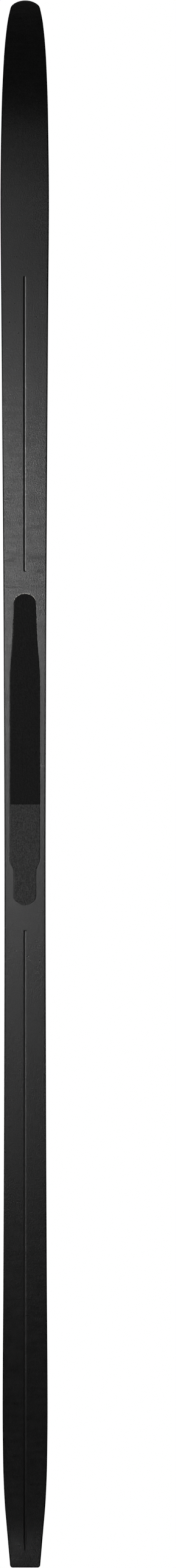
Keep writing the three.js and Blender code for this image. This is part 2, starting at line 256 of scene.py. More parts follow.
def outline(inset, body):
    """Stations and half widths of the outline moved in by inset, from nose to tail."""
    nose_length = NOSE_ROUND - min(inset, NOSE_ROUND / 2)
    corner = max(TAIL_CORNER - inset, 0.5)
    nose = inset + nose_length * (1 - np.cos(NOSE_ANGLES))
    tail = LENGTH - inset - corner * (1 - np.sin(TAIL_ANGLES))
    station = np.concatenate([nose, body, tail])
    rounding = corner - corner * np.cos(TAIL_ANGLES)
    half = rounded_end((station - inset) / nose_length) * (outline_at(station) - inset)
    half[-len(tail):] -= rounding
    return station, half


def rim(rows, columns):
    """Indices of a grid's outer vertices in order: left side, tail end, right side, nose end."""
    left = [i * columns for i in range(rows)]
    tail = [(rows - 1) * columns + j for j in range(1, columns - 1)]
    right = [i * columns + columns - 1 for i in reversed(range(rows))]
    nose = [j for j in reversed(range(1, columns - 1))]
    return left + tail + right + nose


def sheet(name, rings, body, columns_of, material, sharp=35.0):
    """A closed sheet with the ski's outline.

    rings are (inset, height function) from the lower face round the edge to the upper face. The
    first and the last one are whole grids, and the others are loops round the edge.
    """
    vertices, faces, loops = [], [], []
    for k, (inset, height) in enumerate(rings):
        station, half = outline(inset, body)
        across = columns_of(station, half)
        rows, columns = across.shape
        grid = placed(station[:, None], across, height(station[:, None], across)).reshape(-1, 3)
        first = len(vertices)
        edge = rim(rows, columns)
        if k in (0, len(rings) - 1):
            vertices.extend(grid)
            faces.extend(strip_faces(rows, columns, first, flip=k > 0))
            loops.append([first + i for i in edge])
        else:
            vertices.extend(grid[edge])
            loops.append(list(range(first, first + len(edge))))
    for lower, upper in zip(loops, loops[1:]):
        for i in range(len(lower)):
            j = (i + 1) % len(lower)
            faces.append((lower[i], lower[j], upper[j], upper[i]))
    return new_piece(name, vertices, faces, material, sharp)


# ---- Running base ----

# Columns across the base: shares of the floor's half width, millimetres over the lip, and shares of
# the way out from there to the edge. POCKET_LIP has the depths at the lip's columns, and GROOVE_LIP
# has shares of the groove's depth there.
FLOOR_COLUMNS = np.array([0.0, 0.2, 0.4, 0.55, 0.7, 0.82, 0.92, 1.0])
LIP_COLUMNS = np.array([0.02, 0.1, 0.3])
FLANK_COLUMNS = np.array([0.015, 0.15, 0.35, 0.55, 0.75, 0.92, 0.985, 1.0])
POCKET_LIP = np.array([0.06, 0.015, 0.0])
GROOVE_LIP = np.array([GROOVE_DROP, 0.02, 0.0])


def groove_depth(station):
    """Depth of the centre groove's middle at a station."""
    depth = np.zeros_like(station, dtype=float)
    for start, end, fade in GROOVES:
        front = rounded_end((station - start) / GROOVE_FRONT_END)
        rear = rounded_end((end - station) / fade, GROOVE_REAR_POWER)
        depth = np.maximum(depth, GROOVE_DEPTH * np.nan_to_num(front * rear))
    return depth


def groove_half(depth):
    """Half width of a groove with a round floor, cut to a depth."""
    return np.sqrt(np.maximum(2 * GROOVE_RADIUS * depth - depth ** 2, 0))


def in_pocket(station):
    """Whether a station is over the pocket for the skin."""
    return (station > SKIN_START - POCKET_MARGIN) & (station < SKIN_END + POCKET_MARGIN)


def base_columns(station, half):
    """Places across the base: closer together over the groove or the pocket."""
    pocket = np.maximum(skin_half_width(station, POCKET_MARGIN), 1.0)
    groove = np.maximum(groove_half(groove_depth(station)), 0.35)
    relief = np.where(in_pocket(station), pocket, np.minimum(groove, 0.4 * half))[:, None]
    lip = np.minimum(LIP_COLUMNS, 0.05 * half[:, None] + LIP_COLUMNS * 0.1)
    start = relief + lip[:, -1:]
    flank = start + (half[:, None] - start) * FLANK_COLUMNS
    side = np.hstack([relief * FLOOR_COLUMNS, relief + lip, flank])
    return np.hstack([side[:, ::-1], -side[:, 1:]])


def base_relief(station, across):
    """How deep the base's underside is cut in at each point of its grid."""
    floors = len(FLOOR_COLUMNS)
    middle = across.shape[1] // 2
    column = np.abs(np.arange(across.shape[1]) - middle)
    lip = np.clip(column - floors, 0, len(LIP_COLUMNS) - 1)
    on_floor, on_lip = column < floors, column < floors + len(LIP_COLUMNS)
    depth = groove_depth(station)
    arc = np.sqrt(np.maximum(GROOVE_RADIUS ** 2 - across ** 2, 0)) - (GROOVE_RADIUS - depth)
    groove = np.where(on_floor, np.maximum(arc, 0) + GROOVE_DROP * depth, GROOVE_LIP[lip] * depth * on_lip)
    pocket = np.where(on_floor, POCKET_DEPTH, POCKET_LIP[lip] * on_lip)
    return np.where(in_pocket(station), pocket, groove)


def feature_stations():
    """Stations where the groove and the pocket start, end and curve."""
    round_share = 1 - np.cos(np.radians([3, 14, 25, 36, 47, 58, 69, 80, 90]))
    front = SKIN_START - POCKET_MARGIN + (SKIN_FRONT_ROUND + POCKET_MARGIN) * round_share
    rear = SKIN_END + POCKET_MARGIN - (SKIN_REAR_ROUND + POCKET_MARGIN) * round_share
    steps = [SKIN_START - POCKET_MARGIN - FEATURE_STEP, SKIN_END + POCKET_MARGIN + FEATURE_STEP]
    shoulder = np.arange(*SKIN_SHOULDER, 1.5)
    ends = []
    for start, end, fade in GROOVES:
        ends.append(start + GROOVE_FRONT_END * round_share)
        ends.append(end - fade * round_share)
        ends.append([start - FEATURE_STEP, start + FEATURE_STEP, end - FEATURE_STEP, end + FEATURE_STEP])
    return np.concatenate([front, rear, steps, shoulder, *ends])


def make_base(material):
    """The running base with its groove and pocket, and a small round along its edge."""
    level = lambda value: lambda station, across: np.full_like(across, value)
    rings = [
        (BASE_INSET + 0.25, base_relief), (BASE_INSET + 0.06, level(0.04)), (BASE_INSET, level(0.2)),
        (BASE_INSET, level(BASE_THICK)), (BASE_INSET + 0.3, level(BASE_THICK)),
    ]
    piece = sheet("base_sheet", rings, body_stations(feature_stations()), base_columns, material)
    stands_for(piece, "base_sheet", "running_base")


# ---- Grip skin ----


def lattice_noise(rng, station, across, pitch_station, pitch_across):
    """Smooth random heights from -1 to 1, with one random value for each cell of a lattice."""
    u = (station - SKIN_START) / pitch_station + 40
    v = across / pitch_across + 400
    size = (int(u.max()) + 3, int(v.max()) + 3)
    values = rng.uniform(-1, 1, size)
    i, j = u.astype(int), v.astype(int)
    fu, fv = u - i, v - j
    fu, fv = fu * fu * (3 - 2 * fu), fv * fv * (3 - 2 * fv)
    low = values[i, j] * (1 - fv) + values[i, j + 1] * fv
    high = values[i + 1, j] * (1 - fv) + values[i + 1, j + 1] * fv
    return low * (1 - fu) + high * fu


def pile_height(rng, station, across, half):
    """Height of the pile's face: streaks along the ski, soft waves, and a worn, rounded edge."""
    edge = np.clip((half - np.abs(across)) / PILE_SHOULDER, 0, 1)
    ends = np.clip(np.minimum(station - SKIN_START, SKIN_END - station) / PILE_SHOULDER, 0, 1)
    shoulder = np.sqrt(1 - (1 - np.minimum(edge, ends)) ** 2)
    tufts = 0.1 * lattice_noise(rng, station, across, 1.5, 1.2)
    streaks = 0.05 * lattice_noise(rng, station, across, 5, 0.9)
    waves = 0.05 * lattice_noise(rng, station, across, 14, 7)
    return PILE_FOOT - (PILE_FOOT + SKIN_PROUD) * shoulder + (tufts + streaks + waves) * shoulder


def pile_stations(start, end):
    """Stations of a skin strip's rows, closer together where its ends round off."""
    rounds = 1 - np.cos(np.radians([10, 20, 30, 40, 50, 60, 70, 80]))
    front = SKIN_START + SKIN_FRONT_ROUND * rounds
    rear = SKIN_END - SKIN_REAR_ROUND * rounds
    every = np.arange(start + PILE_STEP, end - 0.3, PILE_STEP)
    inside = np.concatenate([every, front, rear])
    inside = inside[(inside > start + 0.1) & (inside < end - 0.1)]
    return np.unique(np.round(np.concatenate([[start], inside, [end]]), 3))


def pile_slab(rng, start, end):
    """Vertices and faces of a skin strip: a fine grid below, and a plain back."""
    columns = PILE_COLUMNS
    station = pile_stations(start, end)
    half = np.maximum(skin_half_width(station), 0.8)
    across = half[:, None] * np.linspace(1, -1, columns)
    grid_station = np.repeat(station[:, None], columns, 1)
    height = pile_height(rng, grid_station, across, half[:, None])
    ragged = PILE_RAG * lattice_noise(rng, grid_station, across, 0.9, 0.9)
    across = across + np.sign(across) * ragged * (np.abs(across) > half[:, None] - 1.2)
    grid_station = grid_station + ragged * (grid_station < SKIN_START + SKIN_FRONT_ROUND)
    lower = placed(grid_station, across, height).reshape(-1, 3)
    back = placed(station[:, None], half[:, None] * np.array([1, -1]), SKIN_BACK).reshape(-1, 3)
    rows, first = len(station), len(station) * columns
    faces = strip_faces(rows, columns)
    faces += strip_faces(rows, 2, first, flip=True)
    for i in range(rows - 1):
        left, right = i * columns, i * columns + columns - 1
        back_left = first + 2 * i
        faces.append((left, left + columns, back_left + 2, back_left))
        faces.append((right, back_left + 1, back_left + 3, right + columns))
    last = (rows - 1) * columns
    faces.append(tuple(range(columns)) + (first + 1, first))
    behind = first + 2 * rows
    faces.append(tuple(range(last + columns - 1, last - 1, -1)) + (behind - 2, behind - 1))
    return np.vstack([lower, back]), faces


HAIR_STATION = 900  # the skin's width here sets how many hairs its face has
HAIR_RADIUS = 0.1
EDGE_HAIRS = 2.4  # for each millimetre of each edge
FRONT_HAIRS = 0.3  # for each square millimetre
REAR_HAIRS = 0.4


def pile_fibres(rng, start, end, per_area, first):
    """Vertices and faces of loose hairs: thin spikes laid back along the ski, more at the edges."""
    length = end - start
    area_count = int(length * 2 * skin_width_at(HAIR_STATION) * per_area)
    edge_count = int(2 * length * EDGE_HAIRS)
    station = rng.uniform(start + 1, end - 1, area_count + edge_count)
    half = skin_half_width(station)
    share = rng.uniform(-0.97, 0.97, area_count + edge_count)
    side = rng.choice([-1.0, 1.0], edge_count)
    from_edge = rng.uniform(0.2, 0.9, edge_count)
    share[area_count:] = side * (1 - from_edge / np.maximum(half[area_count:], 2))
    across = half * share
    outward = np.where(np.arange(len(share)) >= area_count, np.sign(share), 0)
    spread = rng.normal(0, 0.22, len(share)) + 0.3 * outward
    size = rng.uniform(0.9, 1.9, len(share))
    rise = rng.uniform(0.05, 0.22, len(share)) * (1 - 0.5 * np.abs(outward))
    root_height = np.where(outward == 0, -SKIN_PROUD + 0.06, -SKIN_PROUD + 0.2)
    tip_station = np.minimum(station + size * np.cos(spread), end - 0.05)
    tip_across = across + size * np.sin(spread)
    limit = skin_half_width(tip_station) + POCKET_MARGIN + 0.35
    tip = placed(tip_station, np.clip(tip_across, -limit, limit), root_height - rise)
    corners = [(0.0, HAIR_RADIUS, 0.0), (0.0, -HAIR_RADIUS, 0.0), (0.0, 0.0, HAIR_RADIUS * 2)]
    roots = [placed(station + ds, across + dy, root_height + dz) for ds, dy, dz in corners]
    vertices = np.stack([*roots, tip], 1).reshape(-1, 3)
    faces = []
    for a in range(first, first + len(vertices), 4):
        faces += [(a, a + 1, a + 2), (a, a + 3, a + 1), (a + 1, a + 3, a + 2), (a + 2, a + 3, a)]
    return vertices, faces


def make_skin(name, start, end, slot, material, seed, per_area):
    """One strip of the grip skin, with per_area loose hairs for each square millimetre."""
    rng = np.random.default_rng(seed)
    vertices, faces = pile_slab(rng, start, end)
    hairs, hair_faces = pile_fibres(rng, start, end, per_area, len(vertices))
    piece = new_piece(f"{name}_pile", np.vstack([vertices, hairs]), faces + hair_faces, material, 80)
    stands_for(piece, slot, f"{name}_skin")


# ---- Sidewalls, nose piece and tail piece ----


def edge_section(height):
    """(inset, height) corners of the edge strip where the ski's side is height tall."""
    foot = BASE_INSET - GLUE
    inner = CORE_INSET - GLUE
    lean = SIDE_LEAN * height
    ledge = BASE_THICK + GLUE
    return [
        (foot, EDGE_LIFT), (0.2, EDGE_LIFT), (0.06, EDGE_LIFT + 0.05), (0.01, EDGE_LIFT + 0.16),
        (0.02, EDGE_LIFT + 0.45), (lean * 0.5, height * 0.5), (lean, height - 0.5),
        (lean + 0.12, height - 0.12), (lean + 0.4, height), (inner, height), (inner, ledge),
        (foot, ledge),
    ]


def side_height(station):
    """Height of the edge strip's upper face, just under the top sheet."""
    return thickness(station) - TOP_SHEET_THICK - GLUE


def end_rings(pick, body):
    """Rings of an edge strip along each side of the nose or tail, at the outline points in pick."""
    sections = [[], []]
    for side in (0, 1):
        for i in pick:
            ring = []
            station, _ = outline(0.0, body)
            for inset, height in edge_section(side_height(station[i])):
                at, half = outline(inset, body)
                ring.append(placed(at[i], (half[i], -half[i])[side], height))
            sections[side].append(np.array(ring))
    return sections


def make_ends(material):
    """The nose piece and the tail piece: the edge strip, carried round the ski's end."""
    body = body_stations([NOSE_PIECE_END, TAIL_PIECE_START])
    station, _ = outline(0.0, body)
    nose = [i for i, s in enumerate(station) if s <= NOSE_PIECE_END]
    tail = [i for i, s in enumerate(station) if s >= TAIL_PIECE_START]
    left, right = end_rings(nose, body)
    nose_piece = swept("nose_edge", left[::-1] + right, material, 40)
    left, right = end_rings(tail, body)
    tail_piece = swept("tail_edge", left + right[::-1], material, 40)
    stands_for(nose_piece, "edge_plastic", "nose_piece")
    stands_for(tail_piece, "edge_plastic", "tail_piece")


def make_sidewalls(material):
    """The left and right sidewall between the nose piece and the tail piece."""
    between = np.arange(124, 1888, 6.0)
    stations = np.concatenate([[NOSE_PIECE_END + END_GAP], between, [TAIL_PIECE_START - END_GAP]])
    for name, side in (("left_sidewall", 1), ("right_sidewall", -1)):
        rings = []
        for s in stations:
            half = float(outline_at(s))
            section = edge_section(side_height(s))
            rings.append([placed(s, side * (half - inset), height) for inset, height in section])
        piece = swept(f"{name}_strip", rings, material, 40)
        stands_for(piece, "edge_plastic", name)


# ---- Top sheet ----


def make_top_sheet(material, cutters):
    """The top sheet, with the screws' holes through it and a rounded upper edge."""
    over = lambda depth: lambda station, across: thickness(station) - depth + 0 * across

    def leaned(station, half):
        return (half - SIDE_LEAN * thickness(station))[:, None] * np.linspace(1, -1, TOP_COLUMNS)

    rings = [
        (0.5, over(TOP_SHEET_THICK)), (0.0, over(TOP_SHEET_THICK)), (0.0, over(0.35)),
        (0.08, over(0.18)), (0.25, over(0.06)), (0.6, over(0.0)),
    ]
    piece = sheet("top_skin", rings, body_stations(), leaned, material)
    cut(piece, cutters)
    finish_mesh(piece, 35)
    stands_for(piece, "top_sheet", "top_sheet")


def cut(piece, cutters):
    """Takes the cutters away from the piece."""
    for cutter in cutters:
        modifier = piece.modifiers.new("cut", "BOOLEAN")
        modifier.object = cutter
        modifier.solver = "EXACT"
        modifier.operation = "DIFFERENCE"
    graph = bpy.context.evaluated_depsgraph_get()
    mesh = bpy.data.meshes.new_from_object(piece.evaluated_get(graph))
    piece.modifiers.clear()
    piece.data = mesh


# ---- Binding plates and screws ----

PLATES = {  # start, end, and the stations of the screws
    "front": (862.0, 1062.0, (884.0, 1040.0)),
    "rear": (1112.0, 1272.0, (1134.0, 1250.0)),
}
PLATE_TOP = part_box("front_binding_plate")[1].z / MM
FLANGE_HALF_WIDTH = 21
FLANGE_THICK = 1.6
RAIL_HALF_WIDTH = 16
RAIL_NECK = 14.2
RAIL_LIP = 1.2
PLATE_ROUND = 2.5
SCREW_ACROSS = 10
SCREW_LENGTH = 16
SCREW_HEAD_RADIUS = 4
SCREW_SHANK_RADIUS = 2.1
SCREW_RIM = 0.4
SCREW_SINK = 0.4
SCREW_SEGMENTS = 32
HOLE_MARGIN = 0.3
THREAD_PITCH = 1.4
THREAD_CORE = 1.55
RIB_FROM_SCREW = 9
RIB_PITCH = 4
RIB_CUT = 0.7
RIB_OUTER = 13
RIB_INNER = 4


def plate_section(station, notch, shrink):
    """Ring of a plate. notch is how deep the ribs are cut at this station; shrink rounds corners."""
    low = float(base_height(station) + thickness(station)) + GLUE
    neck = low + FLANGE_THICK
    lip = max(PLATE_TOP - RAIL_LIP, neck + 0.15)
    outer = FLANGE_HALF_WIDTH - shrink
    rail = RAIL_HALF_WIDTH - shrink
    top = PLATE_TOP
    half = [
        (outer - 0.3, low), (outer, low + 0.3), (outer, neck - 0.9), (outer - 0.5, neck - 0.55),
        (RAIL_NECK + 0.5 - shrink, neck - 0.1), (RAIL_NECK - shrink, neck), (rail - 0.15, lip),
        (rail, lip + 0.2), (rail, top - 0.35), (rail - 0.12, top - 0.1), (rail - 0.4, top),
        (RIB_OUTER, top), (RIB_OUTER - 0.3, top - notch), (RIB_INNER + 0.3, top - notch),
        (RIB_INNER, top),
    ]
    ring = half + [(-y, z) for y, z in reversed(half)]
    x = LENGTH / 2 - station
    return [(x * MM, y * MM, z * MM) for y, z in ring]


def plate_stations(start, end, screws):
    """(station, notch, shrink) of each ring: rounded ends, and ribs between the screws."""
    places = []
    for turn in np.radians([0, 22, 45, 68, 90]):
        round_off = PLATE_ROUND * (1 - math.cos(turn))
        shrink = PLATE_ROUND * (1 - math.sin(turn))
        places.append((start + round_off, 0.0, shrink))
        places.append((end - round_off, 0.0, shrink))
    first, last = screws[0] + RIB_FROM_SCREW, screws[1] - RIB_FROM_SCREW
    for at in np.arange(first, last, RIB_PITCH):
        for offset, notch in ((-1.2, 0.0), (-1.0, RIB_CUT), (1.0, RIB_CUT), (1.2, 0.0)):
            places.append((at + offset, notch, 0.0))
    return sorted(places)


def turned(name, profile, material, sharp=30.0):
    """A solid turned about +Z from (radius, height) points that start and end on the axis."""
    vertices, faces, rings = [], [], []
    segments = SCREW_SEGMENTS
    for radius, height in profile:
        if radius == 0:
            rings.append([len(vertices)])
            vertices.append((0, 0, height * MM))
            continue
        rings.append(list(range(len(vertices), len(vertices) + segments)))
        for k in range(segments):
            turn = 2 * math.pi * k / segments
            vertices.append((radius * MM * math.cos(turn), radius * MM * math.sin(turn), height * MM))
    for low, high in zip(rings, rings[1:]):
        for k in range(segments):
            corners = [low[k % len(low)], low[(k + 1) % len(low)]]
            corners += [high[(k + 1) % len(high)], high[k % len(high)]]
            faces.append(tuple(dict.fromkeys(corners)))
    return new_piece(name, vertices, faces, material, sharp)


def screw_profile(margin=0.0):
    """A countersunk wood screw from its point up, with its thread as rings.

    With a margin it is the plain hole for that screw, and it runs on above the head.
    """
    shank = SCREW_SHANK_RADIUS + margin
    head = SCREW_HEAD_RADIUS + margin
    cone = SCREW_HEAD_RADIUS - SCREW_SHANK_RADIUS
    top = 1.0 if margin else 0.0
    profile = [(0, -SCREW_LENGTH - margin), (shank * 0.3, -SCREW_LENGTH + 0.3 - margin)]
    if not margin:
        for height in np.arange(-SCREW_LENGTH + 1.6, -SCREW_RIM - cone - 1.5, THREAD_PITCH):
            crest = (SCREW_SHANK_RADIUS, height + 0.55)
            profile += [(THREAD_CORE, height), crest, (THREAD_CORE, height + 1.1)]
    profile += [(shank, -SCREW_RIM - cone), (head - 0.1, -SCREW_RIM - 0.05), (head, -SCREW_RIM + 0.1)]
    profile += [(head, top - 0.08), (head - 0.08, top), (0, top)]
    return profile


def cross_cutter(material):
    """What the drive takes away from a screw's head: a cross that narrows downward."""
    arm, width, depth = 1.9, 0.55, 1.7
    outline_points = [
        (arm, -width), (arm, width), (width, width), (width, arm), (-width, arm), (-width, width),
        (-arm, width), (-arm, -width), (-width, -width), (-width, -arm), (width, -arm), (width, -width),
    ]
    rings = []
    for scale, height in ((0.45, -depth), (1.0, 0.2)):
        rings.append([(x * scale * MM, y * scale * MM, height * MM) for x, y in outline_points])
    return swept("cross_cutter", rings, material)


def screw_spots():
    """Name, x and y of each screw."""
    return [
        (f"{plate}_plate_screw_{2 * k + i + 1}", (LENGTH / 2 - station) * MM, side * SCREW_ACROSS * MM)
        for plate, (_, _, screws) in PLATES.items()
        for k, station in enumerate(screws)
        for i, side in enumerate((1, -1))
    ]


def copy_at(source, name, x, y):
    """A copy of a screw or its hole, sunk into a plate's top at x and y."""
    piece = source.copy()
    piece.data = source.data.copy()
    piece.name = name
    piece.data.name = name
    piece.data.transform(Matrix.Translation((x, y, (PLATE_TOP - SCREW_SINK) * MM)))
    bpy.context.scene.collection.objects.link(piece)
    return piece


def make_screws(material):
    """Eight screws with a cross drive. Returns the cutters for their holes."""
    model = turned("screw_model", screw_profile(), material)
    cross = cross_cutter(material)
    cut(model, [cross])
    finish_mesh(model, 30)
    hole = turned("hole_model", screw_profile(HOLE_MARGIN), material)
    holes = []
    for name, x, y in screw_spots():
        stands_for(copy_at(model, f"{name}_detail", x, y), "screw_steel", name)
        holes.append(copy_at(hole, f"{name}_hole", x, y))
    for extra in (model, cross, hole):
        bpy.data.objects.remove(extra)
    return holes


def make_plates(material, holes):
    """The front and rear binding plate, each with the holes for its own screws."""
    for name, (start, end, screws) in PLATES.items():
        rings = [plate_section(*place) for place in plate_stations(start, end, screws)]
        piece = swept(f"{name}_rail_plate", rings, material, 25)
        cut(piece, [hole for hole in holes if hole.name.startswith(name)])
        finish_mesh(piece, 25)
        stands_for(piece, "plate_plastic", f"{name}_binding_plate")


# ---- Materials ----

BASE_ROUGHNESS = 0.3
WEAR_ROUGHNESS = 0.16  # added where the base is scuffed
# Wear marks across the running base: station, from, to, width along the ski, and strength.
SCUFFS = [
    (516, -22, 20, 2.5, 0.5), (535, -24, -8, 2, 0.5), (621, -26, -18, 1.4, 1), (650, -24, -3, 2, 0.5),
    (655, 8, 24, 3, 0.4), (696, -24, -10, 4, 0.6), (694, 5, 25, 6, 0.5), (712, 7, 22, 5, 0.4),
    (730, -23, 0, 2.2, 0.9), (730, 3, 24, 2, 0.4), (1245, 6, 20, 1.5, 0.8), (1249, 5, 18, 1.5, 0.8),
    (1253, 7, 21, 1.5, 0.8),
]


RANGE_INPUTS = ("From Min", "From Max", "To Min", "To Max")


class Nodes:
    """Short ways to add and join shader nodes in one material."""

    def __init__(self, name):
        self.material = bpy.data.materials.new(name)
        self.material.use_nodes = True
        self.tree = self.material.node_tree
        self.shader = self.tree.nodes["Principled BSDF"]
        self.place = self.tree.nodes.new("ShaderNodeTexCoord").outputs["Object"]

    def add(self, kind, **values):
        node = self.tree.nodes.new(kind)
        for key, value in values.items():
            setattr(node, key, value)
        return node

    def link(self, source, target):
        self.tree.links.new(source, target)

    def stretched(self, scale):
        """Object coordinates, in metres, times a scale for each axis."""
        node = self.add("ShaderNodeVectorMath", operation="MULTIPLY")
        self.link(self.place, node.inputs[0])
        node.inputs[1].default_value = scale
        return node.outputs[0]

    def noise(self, scale, detail=3.0, roughness=0.55):
        """Noise from 0 to 1, with a scale per metre for each axis."""
        node = self.add("ShaderNodeTexNoise")
        self.link(self.stretched(scale), node.inputs["Vector"])
        node.inputs["Scale"].default_value = 1.0
        node.inputs["Detail"].default_value = detail
        node.inputs["Roughness"].default_value = roughness
        return node.outputs["Fac"]

    def mapped(self, source, low, high, to_low=0.0, to_high=1.0, smooth=False):
        node = self.add("ShaderNodeMapRange")
        if smooth:
            node.interpolation_type = "SMOOTHSTEP"
        self.link(source, node.inputs["Value"])
        for key, value in zip(RANGE_INPUTS, (low, high, to_low, to_high)):
            node.inputs[key].default_value = value
        return node.outputs["Result"]

    def math(self, operation, a, b=None):
        node = self.add("ShaderNodeMath", operation=operation)
        for socket, value in zip(node.inputs, (a, b)):
            if isinstance(value, (int, float)):
                socket.default_value = value
            elif value is not None:
                self.link(value, socket)
        return node.outputs[0]

    def mix(self, factor, a, b):
        """A colour between a and b. Each is a colour or a socket."""
        node = self.add("ShaderNodeMix", data_type="RGBA")
        self.link(factor, node.inputs["Factor"])
        for socket, value in ((node.inputs[6], a), (node.inputs[7], b)):
            if isinstance(value, tuple):
                socket.default_value = (*value, 1.0)
            else:
                self.link(value, socket)
        return node.outputs[2]

    def axis(self, name):
        node = self.add("ShaderNodeSeparateXYZ")
        self.link(self.place, node.inputs[0])
        return node.outputs[name]

    def bump(self, height, distance, strength=1.0):
        node = self.add("ShaderNodeBump")
        node.inputs["Strength"].default_value = strength
        node.inputs["Distance"].default_value = distance
        self.link(height, node.inputs["Height"])
        self.link(node.outputs["Normal"], self.shader.inputs["Normal"])

    def set(self, **values):
        for key, value in values.items():
            socket = self.shader.inputs[key.replace("_", " ")]
            if isinstance(value, tuple):
                value = (*value, 1.0)
            if isinstance(value, bpy.types.NodeSocket):
                self.link(value, socket)
            else:
                socket.default_value = value


def scuffs(n, ragged):
    """Share from 0 to 1 of the wear marks that run across the running base."""
    total = 0.0
    for station, start, end, width, strength in SCUFFS:
        middle = (LENGTH / 2 - station) * MM
        offset = n.math("ABSOLUTE", n.math("SUBTRACT", n.axis("X"), middle))
        along = n.mapped(offset, 0.3 * width * MM, width * MM, strength, 0.0, smooth=True)
        left = n.mapped(n.axis("Y"), (start - 2) * MM, (start + 2) * MM, smooth=True)
        right = n.mapped(n.axis("Y"), (end - 2) * MM, (end + 2) * MM, 1.0, 0.0, smooth=True)
        mark = n.math("MULTIPLY", n.math("MULTIPLY", along, left), right)
        total = n.math("MAXIMUM", total, mark)
    return n.math("MULTIPLY", total, ragged)


def lip_glint_flecks(n):
    """Share from 0 to 1 of the pale flecks painted along the round front lip of the skin's recess: painted
    glints on the lip, together with pale burrs of base plastic.
    """
    middle = (LENGTH / 2 - SKIN_START - SKIN_FRONT_ROUND) * MM
    length = (SKIN_FRONT_ROUND + POCKET_MARGIN) * MM
    width = (SKIN_HALF_WIDTHS[0][1] + POCKET_MARGIN) * MM
    along = n.math("DIVIDE", n.math("SUBTRACT", n.axis("X"), middle), length)
    across = n.math("DIVIDE", n.axis("Y"), width)
    radius = n.math("SQRT", n.math("ADD", n.math("POWER", along, 2), n.math("POWER", across, 2)))
    band = n.math("MULTIPLY", n.math("GREATER_THAN", radius, 0.97), n.math("LESS_THAN", radius, 1.075))
    ahead = n.mapped(along, 0.15, 0.45)
    # Dotted mask of the flecks: painted glints along the lip, together with burrs of base plastic.
    chip_glints = n.mapped(n.noise((900, 900, 900), 1.0), 0.54, 0.6)
    return n.math("MULTIPLY", n.math("MULTIPLY", band, ahead), chip_glints)


def base_material():
    """Ground black polyethylene: fine grain, soft patches, and dull marks across it from use."""
    n = Nodes("ground_polyethylene")
    grain = n.noise((600, 760, 600), 1.5, 0.6)
    cloud = n.noise((60, 90, 60), 3.0, 0.6)
    cross = n.noise((260, 45, 260), 2.0, 0.6)
    wear = scuffs(n, n.mapped(n.noise((300, 250, 300), 2.0), 0.3, 0.6))
    body = n.mix(n.mapped(grain, 0.3, 0.7), (0.0012, 0.0012, 0.0012), (0.0058, 0.0058, 0.0058))
    # Pale flecks painted along the front of the recess lip: painted glints there, together with burrs of
    # base plastic.
    n.set(Base_Color=n.mix(lip_glint_flecks(n), body, (0.5, 0.48, 0.42)))
    patches = n.mapped(cloud, 0.3, 0.7, -0.015, 0.03)
    bands = n.mapped(cross, 0.35, 0.7, -0.02, 0.05)
    worn = n.mapped(wear, 0.0, 1.0, BASE_ROUGHNESS, BASE_ROUGHNESS + WEAR_ROUGHNESS)
    spread = n.math("ADD", n.math("ADD", patches, bands), worn)
    n.set(Roughness=spread)
    n.bump(grain, 0.00022, 0.52)
    return n.material


def pile_material(name, dark, light, sheen):
    """Short pile: streaks and speckle of lighter hair ends over darker roots."""
    n = Nodes(name)
    speckle = n.noise((620, 760, 620), 2.0, 0.6)
    streaks = n.noise((90, 900, 90), 2.0)
    both = n.math("ADD", n.math("MULTIPLY", speckle, 0.8), n.math("MULTIPLY", streaks, 0.2))
    n.set(Base_Color=n.mix(n.mapped(both, 0.36, 0.64), dark, light))
    n.set(Roughness=0.85, Specular_IOR_Level=0.16, Sheen_Weight=sheen, Sheen_Roughness=0.5)
    n.bump(speckle, 0.0001, 0.5)
    return n.material


def edge_material():
    """Milled plastic: black along the running edge, dark umber on the side, with fine cutter marks."""
    n = Nodes("milled_edge_plastic")
    marks = n.noise((30, 900, 1800), 2.0)
    grime = n.noise((40, 120, 120), 3.0)
    split = n.add("ShaderNodeSeparateXYZ")
    n.link(n.add("ShaderNodeNewGeometry").outputs["Normal"], split.inputs[0])
    sideways = n.mapped(n.math("ABSOLUTE", split.outputs["Y"]), 0.3, 0.8)
    body = n.mix(n.mapped(grime, 0.3, 0.7), (0.0012, 0.0012, 0.0013), (0.002, 0.002, 0.002))
    side = n.mix(n.mapped(grime, 0.3, 0.7), (0.014, 0.0105, 0.0085), (0.019, 0.015, 0.0125))
    n.set(Base_Color=n.mix(sideways, body, side), Specular_IOR_Level=0.08)
    n.set(Roughness=n.mapped(marks, 0.3, 0.7, 0.32, 0.45))
    n.bump(marks, 0.00003, 0.5)
    return n.material


# The top sheet's pale bands (start and end) and thin lines, in metres.
STRIPES = [
    (0.52, 0.66), (0.675, 0.69), (0.702, 0.709), (-0.9, -0.72), (-0.7, -0.685), (-0.672, -0.665),
]
STRIPE_SLANT = 1.6
PIN_ACROSS = 0.019
PIN_HALF_WIDTH = 0.0004
PIN_REACH = 0.93


